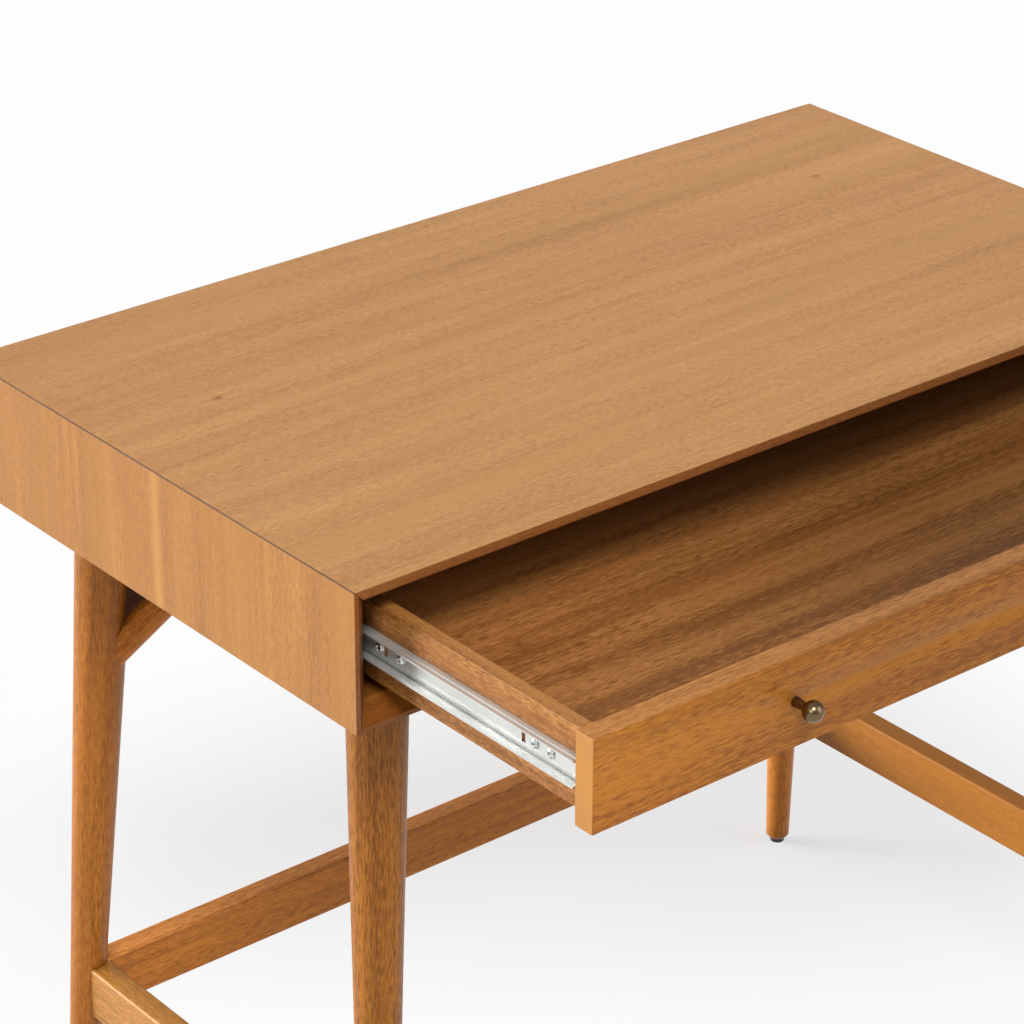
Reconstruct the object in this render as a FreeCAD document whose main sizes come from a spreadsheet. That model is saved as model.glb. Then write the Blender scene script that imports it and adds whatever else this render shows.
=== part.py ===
import FreeCAD, Part
import math
import os
import re
import Sketcher

# Writing desk: a mitred case with one wide drawer, on four splayed legs with braces and stretchers.
# +X runs to the right as seen from the front, +Y from the front to the back, +Z up.
# The origin lies on the floor, in the middle of the desk's outline with the drawer at rest, pulled open.
# Every size is in millimetres or degrees.

SIZES = {
    # Whole desk and its case
    "desk_width": 914.4,
    "desk_depth": 508,
    "desk_height": 771,
    "case_height": 114,
    "panel": 18,
    "top_edge": 7.5,
    "side_edge": 4,
    "bevel_depth": 15,
    "back_panel": 12,
    # Legs: distances of the axis from the two outer faces of the case, and radii
    "leg_inset": 75.5,
    "foot_inset": 38,
    "leg_radius": 24.5,
    "foot_radius": 11.5,
    "foot_end_radius": 7.5,
    "foot_chamfer": 5,
    "glide_radius": 7,
    "glide_height": 3.5,
    "glide_nail_radius": 1.5,
    "glide_nail_length": 15,
    # Stretchers between the legs
    "stretcher_top": 208.5,
    "stretcher_height": 48.5,
    "stretcher_width": 21.5,
    "stretcher_easing": 1.5,
    "stretcher_shift": 5,
    "housing_inset": 11,
    # Braces from the legs up to the case
    "brace_drop": 157,
    "brace_slope": 49,
    "brace_turn": 49,
    "brace_foot_radius": 13.8,
    "brace_top_radius": 14.4,
    "web_thick": 12,
    "web_height": 78,
    "glue_line": 0.15,
    # Fixings of the legs and braces
    "bolt_radius": 4,
    "bolt_below": 40,
    "bolt_above": 4.5,
    "nut_radius": 7,
    "nut_height": 4,
    "brace_screw_radius": 2.25,
    "brace_screw_head": 4.5,
    "brace_screw_below": 20,
    "brace_screw_shift": 8,
    "dowel_radius": 4,
    "dowel_half": 20,
    "stretcher_dowel_reach": 6,
    "stretcher_dowel_rise": 12,
    "fit": 0.05,
    # Drawer box
    "drawer_open": 245.5,
    "front_recess": 15,
    "front_gap": 2.75,
    "front_gap_above": 1.5,
    "front_gap_below": 3,
    "front_thick": 18,
    "side_thick": 12,
    "side_drop": 6.1,
    "side_rise": 5.2,
    "drawer_clearance": 33,
    "drawer_bottom": 6,
    "bottom_rise": 6,
    "groove": 6,
    "groove_fit": 0.1,
    "corner_dowel_radius": 3,
    "corner_dowel_half": 10,
    "corner_dowel_low": 6,
    "corner_dowel_high": 16,
    # Knobs
    "knob_spacing": 508,
    "knob_head_radius": 8,
    "knob_reach": 25.5,
    "knob_stem_radius": 4,
    "knob_neck_radius": 3.2,
    "knob_screw_radius": 2,
    "knob_screw_depth": 9,
    "knob_screw_head": 4,
    "knob_screw_head_height": 2.4,
    # Slides: a cabinet member on the case, a drawer member on the drawer and a row of balls between
    "slide_clearance": 59,
    "slide_thick": 12.7,
    "slide_setback": 4,
    "slide_sheet": 1.2,
    "slide_flange": 1.6,
    "drawer_member_half": 10.8,
    "drawer_member_depth": 8.7,
    "cabinet_member_depth": 10.4,
    "ball_radius": 2,
    "ball_play": 0.05,
    "race_depth": 0.7,
    "ridge_half": 2.4,
    "ball_line": 7,
    "ball_pitch": 16,
    "cage_sheet": 0.8,
    "cage_gap": 1.4,
    "cage_length": 95,
    "cage_depth": 7.2,
    "screw_margin": 40,
    "slide_screw_radius": 1.75,
    "slide_screw_length": 9,
    "slide_screw_head": 3.6,
    "slide_screw_head_height": 2.2,
    "cabinet_screw_head_height": 1.1,
    "slot_half_width": 2,
    "slot_half_height": 4.5,
}

# Distances from the front end of a slide to its screws and to its upright slots
DRAWER_SCREWS = ("31", "48", "195", "219")
DRAWER_SLOTS = ("60", "212")

# Balls in each of the two rows of a cage
BALLS = 6

# Formulas that several pieces share
CASE_FRONT = "((drawer_open - front_recess + knob_reach - desk_depth) / 2)"
CASE_MIDDLE = f"({CASE_FRONT} + desk_depth / 2)"
CASE_LEFT = "(-desk_width / 2)"
UNDERSIDE = "(desk_height - case_height)"
FLOOR_OF_CASE = f"({UNDERSIDE} + panel)"
BRACE_LEVEL = f"({UNDERSIDE} - brace_drop)"
INNER_LEFT = f"({CASE_LEFT} + panel)"
FACE = f"({CASE_FRONT} + front_recess - drawer_open)"
BEHIND_FRONT = f"({FACE} + front_thick)"
FRONT_BOTTOM = f"({FLOOR_OF_CASE} + front_gap_below)"
FRONT_HEIGHT = "(case_height - 2 * panel - front_gap_above - front_gap_below)"
FRONT_MIDDLE = f"({FRONT_BOTTOM} + {FRONT_HEIGHT} / 2)"
DRAWER_LEVEL = "(desk_height - case_height / 2)"
SIDE_LEFT = f"({INNER_LEFT} + slide_thick)"
SIDE_HEIGHT = f"({FRONT_HEIGHT} - side_rise - side_drop)"
SIDE_BOTTOM = f"({FRONT_BOTTOM} + side_rise)"
CORNER_DOWELS = (
    f"{SIDE_BOTTOM} + bottom_rise + drawer_bottom + corner_dowel_low",
    f"{SIDE_BOTTOM} + {SIDE_HEIGHT} - corner_dowel_high",
)
SIDE_LENGTH = "(desk_depth - front_recess - front_thick - back_panel - drawer_clearance)"
DRAWER_INSIDE = "(desk_width - 2 * panel - 2 * slide_thick - 2 * side_thick)"
SLIDE_FRONT = f"({CASE_FRONT} + front_recess + front_thick + slide_setback)"
SLIDE_LENGTH = "(desk_depth - front_recess - front_thick - slide_setback - back_panel - slide_clearance)"
BALL_RISE = "(drawer_member_half - race_depth + ball_radius + ball_play)"
CABINET_SCREWS = ("screw_margin", f"{SLIDE_LENGTH} / 2", f"{SLIDE_LENGTH} - screw_margin")
CAGE_START = f"({SLIDE_FRONT} + ({SLIDE_LENGTH} - drawer_open - cage_length) / 2)"

doc = FreeCAD.newDocument("WritingDesk")
nodes = []


def fill_sheet():
    sheet = doc.addObject("Spreadsheet::Sheet", "Sizes")
    for row, (name, value) in enumerate(SIZES.items(), 1):
        sheet.set(f"A{row}", name)
        sheet.set(f"B{row}", str(value))
        sheet.setAlias(f"B{row}", name)
    doc.recompute()


def formula(text):
    """The formula with each size name pointing at its cell in the sheet."""
    return re.sub(r"[a-z_]+", lambda word: f"Sizes.{word[0]}" if word[0] in SIZES else word[0], text)


def bind(thing, **properties):
    for name, text in properties.items():
        thing.setExpression(name, formula(text))
    return thing


def place(thing, x, y, z):
    for axis, text in zip("xyz", (x, y, z)):
        thing.setExpression(f"Placement.Base.{axis}", formula(text))
    return thing


def block(size, corner):
    """A box from its three sizes and its left, front, lower corner."""
    length, width, height = size
    box = bind(doc.addObject("Part::Box", "Block"), Length=length, Width=width, Height=height)
    return place(box, *corner)


def rod(radius, length, start, yaw="0", pitch="0"):
    """A round rod from its start point, upright unless pitched over and then turned."""
    pin = bind(doc.addObject("Part::Cylinder", "Rod"), Radius=radius, Height=length)
    return turned(place(pin, *start), yaw, pitch)


def turned(thing, yaw, pitch):
    thing.setExpression("Placement.Rotation.Yaw", formula(yaw))
    thing.setExpression("Placement.Rotation.Pitch", formula(pitch))
    return thing


def rod_along_x(radius, length, start):
    return rod(radius, length, start, "0", "90")


def rod_along_y(radius, length, start):
    return rod(radius, length, start, "90", "90")


def cut(base, tools):
    """The base with every tool taken away from it."""
    result = doc.addObject("Part::Cut", "Cut")
    result.Base = base
    result.Tool = joined(tools)
    return result


def joined(shapes):
    if len(shapes) == 1:
        return shapes[0]
    union = doc.addObject("Part::MultiFuse", "Joined")
    union.Shapes = shapes
    return union


def group(shapes):
    """Separate solids that share one node."""
    bundle = doc.addObject("Part::Compound", "Group")
    bundle.Links = shapes
    return bundle


def across(thing):
    """The mirror image on the other side of the desk, left to right."""
    twin = doc.addObject("Part::Mirroring", "Across")
    twin.Source = thing
    twin.Normal = FreeCAD.Vector(1, 0, 0)
    return twin


def behind(thing):
    """The mirror image at the other end of the desk, front to back."""
    twin = doc.addObject("Part::Mirroring", "Behind")
    twin.Source = thing
    twin.Normal = FreeCAD.Vector(0, 1, 0)
    twin.setExpression("Base.y", formula(CASE_MIDDLE))
    return twin


def four(thing):
    """A piece of the front left leg together with its three mirror images."""
    back = behind(thing)
    return [thing, across(thing), back, across(back)]


def node(label, thing):
    thing.Label = label
    nodes.append(thing)
    return thing


def pair(name, thing):
    """The left piece and its mirror image, as two nodes."""
    node(f"left_{name}", thing)
    node(f"right_{name}", across(thing))
    return thing


def new_body(name):
    return doc.addObject("PartDesign::Body", name)


def plane_of(body, role):
    return next(item for item in body.Origin.OriginFeatures if item.Role == role)


def new_sketch(body, role):
    sketch = body.newObject("Sketcher::SketchObject", "Sketch")
    sketch.AttachmentSupport = (plane_of(body, role), [""])
    sketch.MapMode = "FlatFace"
    return sketch


def fix_point(sketch, line, end, u, v):
    """Tie a point of the sketch to two formulas, measured from the sketch's origin."""
    for kind, axis, text in (("DistanceX", -2, u), ("DistanceY", -1, v)):
        if text == "0":
            sketch.addConstraint(Sketcher.Constraint("PointOnObject", line, end, axis))
        else:
            number = sketch.addConstraint(Sketcher.Constraint(kind, -1, 1, line, end, 1.0))
            sketch.setExpression(f"Constraints[{number}]", formula(text))


def outline(sketch, corners):
    """A closed outline of straight sides, each corner given by two formulas."""
    first = sketch.GeometryCount
    count = len(corners)
    angles = [2 * math.pi * step / count for step in range(count + 1)]
    points = [FreeCAD.Vector(math.cos(angle), math.sin(angle), 0) for angle in angles]
    for start, end in zip(points, points[1:]):
        sketch.addGeometry(Part.LineSegment(start, end))
    for step in range(count):
        line = first + step
        after = first + (step + 1) % count
        sketch.addConstraint(Sketcher.Constraint("Coincident", line, 2, after, 1))
    for step, (u, v) in enumerate(corners):
        fix_point(sketch, first + step, 1, u, v)


def circle(sketch, u, v, radius):
    number = sketch.addGeometry(Part.Circle(FreeCAD.Vector(1, 1, 0), FreeCAD.Vector(0, 0, 1), 1))
    fix_point(sketch, number, 3, u, v)
    size = sketch.addConstraint(Sketcher.Constraint("Radius", number, 1.0))
    sketch.setExpression(f"Constraints[{size}]", formula(radius))


def padded(body, sketch, length, reverse=False):
    pad = bind(body.newObject("PartDesign::Pad", "Pad"), Length=length)
    pad.Profile = sketch
    pad.Reversed = reverse
    return pad


def pocket_through(body, sketch):
    """Cut the sketch right through the body, to both sides of its plane."""
    pocket = body.newObject("PartDesign::Pocket", "Pocket")
    pocket.Profile = sketch
    pocket.Type = "ThroughAll"
    pocket.SideType = "Symmetric"
    return pocket


def case_panel(profile, bevel_plane, bevel):
    """A mitred panel along the depth of the case, with a bevel cut along its front edge."""
    body = new_body("Panel")
    section = new_sketch(body, "XZ_Plane")
    outline(section, profile)
    padded(body, section, "desk_depth", reverse=True)
    edge = new_sketch(body, bevel_plane)
    outline(edge, bevel)
    pocket_through(body, edge)
    return body


def wide_profile(inner):
    """The mitred section of the top or the bottom, with the level of its inner face."""
    half = "desk_width / 2"
    return [(f"-{half}", "0"), (half, "0"), (f"{half} - panel", inner), (f"panel - {half}", inner)]


def top_panel():
    profile = wide_profile("-panel")
    bevel = [("0", "-top_edge"), ("bevel_depth", "-panel"), ("0", "-panel")]
    panel = case_panel(profile, "YZ_Plane", bevel)
    node("top_panel", place(panel, "0", CASE_FRONT, "desk_height"))


def bottom_panel(holes):
    profile = wide_profile("panel")
    bevel = [("0", "side_edge"), ("bevel_depth", "panel"), ("0", "panel")]
    panel = case_panel(profile, "YZ_Plane", bevel)
    node("bottom_panel", cut(place(panel, "0", CASE_FRONT, UNDERSIDE), holes))


def side_panels(holes):
    profile = [("0", "0"), ("0", "case_height"), ("panel", "case_height - panel"), ("panel", "panel")]
    bevel = [("side_edge", "0"), ("panel", "bevel_depth"), ("panel", "0")]
    panel = case_panel(profile, "XY_Plane", bevel)
    pair("side_panel", cut(place(panel, CASE_LEFT, CASE_FRONT, UNDERSIDE), holes))


def back_panel():
    size = ("desk_width - 2 * panel", "back_panel", "case_height - 2 * panel")
    corner = (INNER_LEFT, f"{CASE_FRONT} + desk_depth - back_panel", FLOOR_OF_CASE)
    node("back_panel", block(size, corner))


def axis_inset(level):
    """Distance of a leg's axis from the outer faces of the case, at a level above the floor."""
    return f"(foot_inset + (leg_inset - foot_inset) * {level} / {UNDERSIDE})"


def leg_blank(growth):
    """The front left leg without its holes: a round taper that leans outwards, with a chamfered foot."""
    shoulder = "(glide_height + foot_chamfer)"
    rings = (
        ("glide_height", "foot_end_radius"),
        (shoulder, "foot_radius"),
        (UNDERSIDE, "leg_radius"),
    )
    body = new_body("Leg")
    sections = []
    for level, radius in rings:
        sketch = new_sketch(body, "XY_Plane")
        sketch.setExpression("AttachmentOffset.Base.z", formula(level))
        circle(sketch, axis_inset(level), axis_inset(level), f"{radius} + {growth}")
        sections.append(sketch)
    loft = body.newObject("PartDesign::AdditiveLoft", "Loft")
    loft.Profile = sections[0]
    loft.Sections = sections[1:]
    loft.Ruled = True
    return place(body, CASE_LEFT, CASE_FRONT, "0")


def brace_start():
    inset = axis_inset(BRACE_LEVEL)
    return (f"{CASE_LEFT} + {inset}", f"{CASE_FRONT} + {inset}", BRACE_LEVEL)


def brace_blank():
    """A round taper from the axis of the front left leg to just above the underside of the case."""
    brace = bind(
        doc.addObject("Part::Cone", "Brace"),
        Radius1="brace_foot_radius",
        Radius2="brace_top_radius",
        Height="brace_drop / sin(brace_slope) + brace_top_radius / tan(brace_slope)",
    )
    return turned(place(brace, *brace_start()), "brace_turn", "90 - brace_slope")


def brace_web():
    """The small web that fills the crotch between the leg and its brace."""
    body = new_body("Web")
    section = new_sketch(body, "XZ_Plane")
    section.setExpression("AttachmentOffset.Base.z", formula("web_thick / 2"))
    outline(section, [("0", "0"), ("web_height / tan(brace_slope)", "web_height"), ("0", "web_height")])
    padded(body, section, "web_thick", reverse=True)
    return turned(place(body, *brace_start()), "brace_turn", "0")


def brace_dowel(growth):
    """The dowel along the axis of the brace, half in the leg and half in the brace."""
    x, y, z = brace_start()
    reach = "leg_radius / cos(brace_slope) - dowel_half"
    start = (
        f"{x} + ({reach}) * cos(brace_slope) * cos(brace_turn)",
        f"{y} + ({reach}) * cos(brace_slope) * sin(brace_turn)",
        f"{z} + ({reach}) * sin(brace_slope)",
    )
    radius = f"dowel_radius + {growth}"
    length = f"2 * dowel_half + {growth}"
    return rod(radius, length, start, "brace_turn", "90 - brace_slope")


def leg_bolt(growth):
    start = (f"{CASE_LEFT} + leg_inset", f"{CASE_FRONT} + leg_inset", f"{UNDERSIDE} - bolt_below")
    return rod(f"bolt_radius + {growth}", "bolt_below + panel + bolt_above", start)


def leg_nut():
    level = FLOOR_OF_CASE
    place_on = (f"{CASE_LEFT} + leg_inset", f"{CASE_FRONT} + leg_inset", level)
    nut = doc.addObject("Part::Prism", "Nut")
    nut.Polygon = 6
    bind(nut, Circumradius="nut_radius", Height="nut_height")
    return cut(place(nut, *place_on), [leg_bolt("fit")])


def brace_screw(growth):
    """The countersunk screw from inside the case down into the top of the brace."""
    run = "(brace_drop / tan(brace_slope) - brace_screw_shift)"
    x, y, _ = brace_start()
    x = f"{x} + {run} * cos(brace_turn)"
    y = f"{y} + {run} * sin(brace_turn)"
    depth = "(brace_screw_head - brace_screw_radius)"
    shank = rod(
        f"brace_screw_radius + {growth}",
        f"brace_screw_below + panel - {depth}",
        (x, y, f"{UNDERSIDE} - brace_screw_below"),
    )
    head = bind(
        doc.addObject("Part::Cone", "Head"),
        Radius1=f"brace_screw_radius + {growth}",
        Radius2=f"brace_screw_head + {growth}",
        Height=depth,
    )
    return joined([shank, place(head, x, y, f"{FLOOR_OF_CASE} - {depth}")])


def glide():
    x = f"{CASE_LEFT} + {axis_inset('glide_height')}"
    y = f"{CASE_FRONT} + {axis_inset('glide_height')}"
    disc = rod("glide_radius", "glide_height", (x, y, "0"))
    return joined([disc, glide_nail("0")])


def glide_nail(growth):
    x = f"{CASE_LEFT} + {axis_inset('glide_height')}"
    y = f"{CASE_FRONT} + {axis_inset('glide_height')}"
    length = f"glide_height + glide_nail_length + {growth}"
    return rod(f"glide_nail_radius + {growth}", length, (x, y, "0"))


STRETCHER_INSET = axis_inset("(stretcher_top - stretcher_height / 2)")
STRETCHER_X = f"({CASE_LEFT} + {STRETCHER_INSET})"
SIDE_STRETCHER_X = f"({STRETCHER_X} + stretcher_shift)"
STRETCHER_Y = f"({CASE_FRONT} + {STRETCHER_INSET})"
STRETCHER_BOTTOM = "(stretcher_top - stretcher_height)"


def eased(width, height, length, plane, reverse):
    """A bar with its four long edges cut back a little."""
    body = new_body("Bar")
    section = new_sketch(body, plane)
    half = f"{width} / 2"
    ease = "stretcher_easing"
    outline(section, [
        (f"-{half} + {ease}", "0"), (f"{half} - {ease}", "0"),
        (half, ease), (half, f"{height} - {ease}"),
        (f"{half} - {ease}", height), (f"-{half} + {ease}", height),
        (f"-{half}", f"{height} - {ease}"), (f"-{half}", ease),
    ])
    padded(body, section, length, reverse)
    return body


def side_stretcher_blank():
    length = f"desk_depth - 2 * {STRETCHER_INSET} - 2 * housing_inset"
    bar = eased("stretcher_width", "stretcher_height", length, "XZ_Plane", True)
    return place(bar, SIDE_STRETCHER_X, f"{STRETCHER_Y} + housing_inset", STRETCHER_BOTTOM)


def back_stretcher_blank():
    length = f"desk_width - 2 * {STRETCHER_INSET} - 2 * housing_inset"
    bar = eased("stretcher_width", "stretcher_height", length, "YZ_Plane", False)
    y = f"2 * {CASE_MIDDLE} - {STRETCHER_Y}"
    return place(bar, f"{STRETCHER_X} + housing_inset", y, STRETCHER_BOTTOM)


def stretcher_dowel_levels():
    middle = f"{STRETCHER_BOTTOM} + stretcher_height / 2"
    return (f"{middle} - stretcher_dowel_rise", f"{middle} + stretcher_dowel_rise")


def side_stretcher_dowels(growth):
    """The two dowels between the front left leg and the left stretcher."""
    start = f"{STRETCHER_Y} + housing_inset - stretcher_dowel_reach"
    length = "dowel_half + stretcher_dowel_reach"
    return [
        rod_along_y(f"dowel_radius + {growth}", length, (SIDE_STRETCHER_X, start, level))
        for level in stretcher_dowel_levels()
    ]


def back_stretcher_dowels(growth):
    """The two dowels between the back left leg and the back stretcher."""
    y = f"2 * {CASE_MIDDLE} - {STRETCHER_Y}"
    start = f"{STRETCHER_X} + housing_inset - stretcher_dowel_reach"
    length = "dowel_half + stretcher_dowel_reach"
    return [
        rod_along_x(f"dowel_radius + {growth}", length, (start, y, level))
        for level in stretcher_dowel_levels()
    ]


def legs():
    """Four legs: each is housed for its side stretcher, and the back ones for the back stretcher too."""
    holes = [leg_bolt("fit"), brace_dowel("fit"), glide_nail("fit")]
    bored = cut(leg_blank("0"), holes)
    side_housing = [side_stretcher_blank()] + side_stretcher_dowels("fit")
    front = cut(bored, side_housing)
    side_housing_behind = [behind(item) for item in side_housing]
    back_housing = [back_stretcher_blank()] + back_stretcher_dowels("fit")
    back = cut(cut(behind(bored), side_housing_behind), back_housing)
    pair_of_legs("leg", front, back)


def pair_of_legs(name, front, back):
    node(f"front_left_{name}", front)
    node(f"front_right_{name}", across(front))
    node(f"back_left_{name}", back)
    node(f"back_right_{name}", across(back))


def braces():
    """Four braces, coped round their legs and cut level under the case."""
    above = block(("desk_width", "desk_depth", "case_height"), (CASE_LEFT, CASE_FRONT, UNDERSIDE))
    tools = [leg_blank("glue_line"), above]
    coped = cut(joined([brace_blank(), brace_web()]), tools)
    brace = cut(coped, [brace_dowel("fit"), brace_screw("fit")])
    pair_of_legs("brace", brace, behind(brace))


def stretchers():
    front_dowels = side_stretcher_dowels("fit")
    ends = front_dowels + [behind(item) for item in front_dowels]
    pair("stretcher", cut(side_stretcher_blank(), ends))
    left_dowels = back_stretcher_dowels("fit")
    ends = left_dowels + [across(item) for item in left_dowels]
    node("back_stretcher", cut(back_stretcher_blank(), ends))


def leg_fixings():
    node("leg_bolts", group(four(leg_bolt("0"))))
    node("leg_nuts", group(four(leg_nut())))
    node("brace_screws", group(four(brace_screw("0"))))
    node("brace_dowels", group(four(brace_dowel("0"))))
    node("foot_glides", group(four(glide())))
    dowels = []
    for dowel in side_stretcher_dowels("0"):
        dowels += four(dowel)
    for dowel in back_stretcher_dowels("0"):
        dowels += [dowel, across(dowel)]
    node("stretcher_dowels", group(dowels))


def corner_dowels(y, growth):
    """The two dowels at one corner of the drawer, along the depth, on its left side."""
    x = f"{SIDE_LEFT} + side_thick / 2"
    return [
        rod_along_y(
            f"corner_dowel_radius + {growth}",
            "2 * corner_dowel_half",
            (x, f"{y} - corner_dowel_half", level),
        )
        for level in CORNER_DOWELS
    ]


def back_corner_dowels(growth):
    """The two dowels that hold the left side to the end of the drawer back."""
    x = f"{SIDE_LEFT} + side_thick - corner_dowel_half"
    y = f"{BEHIND_FRONT} + {SIDE_LENGTH} - side_thick / 2"
    return [
        rod_along_x(
            f"corner_dowel_radius + {growth}",
            "2 * corner_dowel_half",
            (x, y, level),
        )
        for level in CORNER_DOWELS
    ]


def drawer_bottom_panel(growth):
    """The bottom, held in grooves of the front, both sides and the back."""
    length = f"{DRAWER_INSIDE} + 2 * groove + 2 * {growth}"
    width = f"{SIDE_LENGTH} - side_thick + 2 * groove + 2 * {growth}"
    x = f"{SIDE_LEFT} + side_thick - groove - {growth}"
    y = f"{BEHIND_FRONT} - groove - {growth}"
    z = f"{SIDE_BOTTOM} + bottom_rise - {growth}"
    return block((length, width, f"drawer_bottom + 2 * {growth}"), (x, y, z))


def knob_screw(growth):
    """The screw through the drawer front into the left knob."""
    return rod_along_y(
        f"knob_screw_radius + {growth}",
        f"front_thick + knob_screw_depth + {growth}",
        ("-knob_spacing / 2", f"{FACE} - knob_screw_depth - {growth}", FRONT_MIDDLE),
    )


def knob_screw_with_head():
    head = rod_along_y(
        "knob_screw_head",
        "knob_screw_head_height",
        ("-knob_spacing / 2", BEHIND_FRONT, FRONT_MIDDLE),
    )
    return joined([knob_screw("0"), head])


def knob():
    """The left knob: a ball on a waisted stem, turned about the axis of its screw."""
    body = new_body("Knob")
    profile = new_sketch(body, "XY_Plane")
    centre = "(knob_head_radius - knob_reach)"
    waist = "(knob_stem_radius - knob_reach) / 2"
    outline(profile, [
        ("0", "0"), ("knob_stem_radius", "0"), ("knob_neck_radius", waist),
        ("knob_neck_radius", centre), ("0", centre),
    ])
    turn = body.newObject("PartDesign::Revolution", "Turn")
    turn.Profile = profile
    turn.ReferenceAxis = (profile, ["V_Axis"])
    turn.Angle = 360
    ball = bind(body.newObject("PartDesign::AdditiveSphere", "Ball"), Radius="knob_head_radius")
    ball.setExpression("AttachmentOffset.Base.y", formula(centre))
    ball.AttachmentSupport = (plane_of(body, "XY_Plane"), [""])
    ball.MapMode = "FlatFace"
    place(body, "-knob_spacing / 2", FACE, FRONT_MIDDLE)
    return cut(body, [knob_screw("fit")])


def drawer():
    groove = drawer_bottom_panel("groove_fit")
    front_dowels = corner_dowels(BEHIND_FRONT, "fit")
    rear_dowels = back_corner_dowels("fit")
    screws = [knob_screw("fit")]
    front_holes = [groove] + front_dowels + screws
    front_holes += [across(item) for item in front_dowels + screws]
    front_width = "(desk_width - 2 * panel - 2 * front_gap)"
    front_corner = (f"-{front_width} / 2", FACE, FRONT_BOTTOM)
    front = block((front_width, "front_thick", FRONT_HEIGHT), front_corner)
    node("drawer_front", cut(front, front_holes))

    side = block(("side_thick", SIDE_LENGTH, SIDE_HEIGHT), (SIDE_LEFT, BEHIND_FRONT, SIDE_BOTTOM))
    side_holes = [groove] + front_dowels + rear_dowels
    side_holes += slide_screws(DRAWER_SCREWS, "fit", drawer_slide_screw)
    pair("drawer_side", cut(side, side_holes))

    back_corner = (f"-{DRAWER_INSIDE} / 2", f"{BEHIND_FRONT} + {SIDE_LENGTH} - side_thick", SIDE_BOTTOM)
    back = block((DRAWER_INSIDE, "side_thick", SIDE_HEIGHT), back_corner)
    back_holes = [groove] + rear_dowels + [across(item) for item in rear_dowels]
    node("drawer_back", cut(back, back_holes))

    node("drawer_bottom", drawer_bottom_panel("0"))
    pins = corner_dowels(BEHIND_FRONT, "0") + back_corner_dowels("0")
    node("drawer_dowels", group(pins + [across(pin) for pin in pins]))
    pair("knob", knob())
    screw = knob_screw_with_head()
    node("knob_screws", group([screw, across(screw)]))


def slide_screws(distances, growth, screw):
    return [screw(distance, growth) for distance in distances]


def drawer_slide_screw(distance, growth):
    """The shank of a screw through the drawer member into the drawer's left side."""
    y = f"{SLIDE_FRONT} - drawer_open + {distance}"
    start = (f"{SIDE_LEFT} - slide_sheet", y, DRAWER_LEVEL)
    return rod_along_x(f"slide_screw_radius + {growth}", "slide_sheet + slide_screw_length", start)


def cabinet_slide_screw(distance, growth):
    """The shank of a screw through the cabinet member into the left panel of the case."""
    start = (f"{INNER_LEFT} - slide_screw_length", f"{SLIDE_FRONT} + {distance}", DRAWER_LEVEL)
    return rod_along_x(f"slide_screw_radius + {growth}", "slide_sheet + slide_screw_length", start)


def screw_head(height, x, y):
    return rod_along_x("slide_screw_head", height, (x, y, DRAWER_LEVEL))


def drawer_member():
    """The channel on the drawer's left side, open to the left, with a ball race in each flange."""
    body = new_body("DrawerMember")
    section = new_sketch(body, "XZ_Plane")
    half = "drawer_member_half"
    inner = f"({half} - slide_sheet)"
    ridge = f"({inner} - race_depth)"
    lip = "-drawer_member_depth"
    web = "-slide_sheet"
    line = "(ball_line - slide_thick)"
    upper = [
        (lip, half), (lip, inner),
        (f"{line} - ridge_half", inner), (f"{line} - ridge_half + race_depth", ridge),
        (f"{line} + ridge_half - race_depth", ridge), (f"{line} + ridge_half", inner),
        (web, inner),
    ]
    lower = [(u, f"-{v}") for u, v in reversed(upper)]
    outline(section, [("0", f"-{half}"), ("0", half)] + upper + lower)
    padded(body, section, SLIDE_LENGTH, reverse=True)
    races(body, line)
    for distance in DRAWER_SLOTS:
        slot = new_sketch(body, "YZ_Plane")
        near = f"{distance} - slot_half_width"
        far = f"{distance} + slot_half_width"
        tall = "slot_half_height"
        outline(slot, [(near, f"-{tall}"), (far, f"-{tall}"), (far, tall), (near, tall)])
        pocket_through(body, slot)
    place(body, SIDE_LEFT, f"{SLIDE_FRONT} - drawer_open", DRAWER_LEVEL)
    return cut(body, slide_screws(DRAWER_SCREWS, "fit", drawer_slide_screw))


def cabinet_member():
    """The channel on the left panel of the case, open to the right, round the drawer member."""
    body = new_body("CabinetMember")
    section = new_sketch(body, "XZ_Plane")
    inner = f"({BALL_RISE} + ball_radius + ball_play - race_depth)"
    half = f"({inner} + slide_flange)"
    lip = "cabinet_member_depth"
    web = "slide_sheet"
    outline(section, [
        ("0", f"-{half}"), ("0", half), (lip, half), (lip, inner),
        (web, inner), (web, f"-{inner}"), (lip, f"-{inner}"), (lip, f"-{half}"),
    ])
    padded(body, section, SLIDE_LENGTH, reverse=True)
    races(body, "ball_line")
    place(body, INNER_LEFT, SLIDE_FRONT, DRAWER_LEVEL)
    return cut(body, slide_screws(CABINET_SCREWS, "fit", cabinet_slide_screw))


def races(body, line):
    """Two round grooves along a slide member, one for each row of balls."""
    for sign in ("-", ""):
        groove = new_sketch(body, "XZ_Plane")
        circle(groove, line, f"{sign}{BALL_RISE}", "ball_radius + ball_play")
        pocket_through(body, groove)


def ball_places():
    first = f"{CAGE_START} + cage_length / 2 - ball_pitch * {(BALLS - 1) / 2}"
    for step in range(BALLS):
        for sign in ("-", "+"):
            yield f"{first} + ball_pitch * {step}", f"{DRAWER_LEVEL} {sign} {BALL_RISE}"


def balls(growth):
    """Both rows of balls in the left slide."""
    x = f"{INNER_LEFT} + ball_line"
    rows = []
    for y, z in ball_places():
        ball = bind(doc.addObject("Part::Sphere", "Ball"), Radius=f"ball_radius + {growth}")
        rows.append(place(ball, x, y, z))
    return rows


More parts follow.
